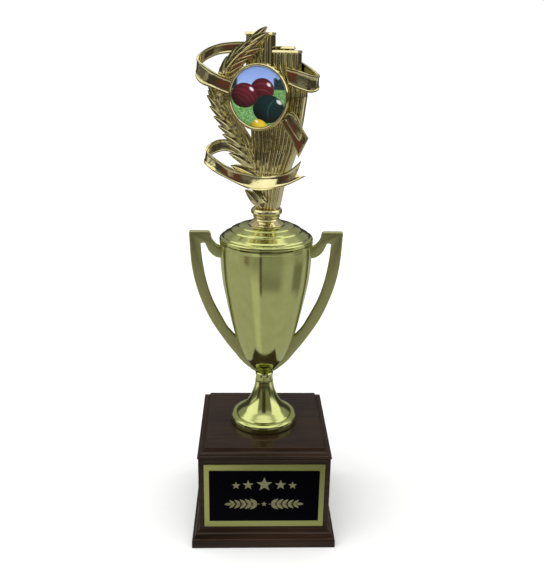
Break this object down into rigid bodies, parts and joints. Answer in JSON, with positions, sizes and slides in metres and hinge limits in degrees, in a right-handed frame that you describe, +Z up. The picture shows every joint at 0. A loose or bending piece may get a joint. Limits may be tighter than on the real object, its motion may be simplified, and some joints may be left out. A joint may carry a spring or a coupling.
{
  "type": "cup trophy with insert figure",
  "caption": "Gold two-handled cup trophy on a square dark wooden base, topped by a laurel and ribbon figure that holds a round insert showing lawn bowls.",
  "frame": {"origin": "centre of the wooden base's underside", "axes": "+Z up, -Y towards the plate and the insert, +X to the viewer's right"},
  "size_m": [0.1432, 0.1392, 0.4815],
  "materials": {
    "wood": "dark walnut stain under semi-gloss lacquer",
    "bare_wood": "unfinished softwood, inside the base",
    "plate_gold": "satin gold anodised sheet",
    "plate_black": "gloss black coated sheet with an engraved ornament",
    "steel": "zinc plated",
    "cup_gold": "pale greenish gold plating, softly brushed round the axis",
    "figure_gold": "bright vacuum-metallised gold",
    "picture": "printed disc"
  },
  "bodies": {
    "root": {"plinth_front": "wood", "plinth_right": "wood", "plinth_back": "wood", "plinth_left": "wood", "wall_front": "wood", "wall_right": "wood", "wall_back": "wood", "wall_left": "wood", "top_board": "wood", "glue_block_1": "bare_wood", "glue_block_2": "bare_wood", "glue_block_3": "bare_wood", "glue_block_4": "bare_wood", "plate_backing": "plate_gold", "engraved_plate": "plate_black", "threaded_rod": "steel", "base_washer": "steel", "base_nut": "steel", "cup_washer": "steel", "cup_nut": "steel", "figure_nut": "steel", "cup_foot": "cup_gold", "stem_collar": "cup_gold", "cup": "cup_gold", "lid": "cup_gold", "handle_right": "cup_gold", "handle_left": "cup_gold", "handle_screw_right_upper": "steel", "handle_screw_right_lower": "steel", "handle_screw_left_upper": "steel", "handle_screw_left_lower": "steel", "figure_base": "figure_gold", "figure_body": "figure_gold", "laurel_branch": "figure_gold", "neck_leaf": "figure_gold", "ribbon_upper_left": "figure_gold", "ribbon_upper_right": "figure_gold", "ribbon_lower": "figure_gold", "ribbon_fold": "figure_gold", "insert_holder": "figure_gold", "insert_picture": "picture"}
  },
  "joints": []
}
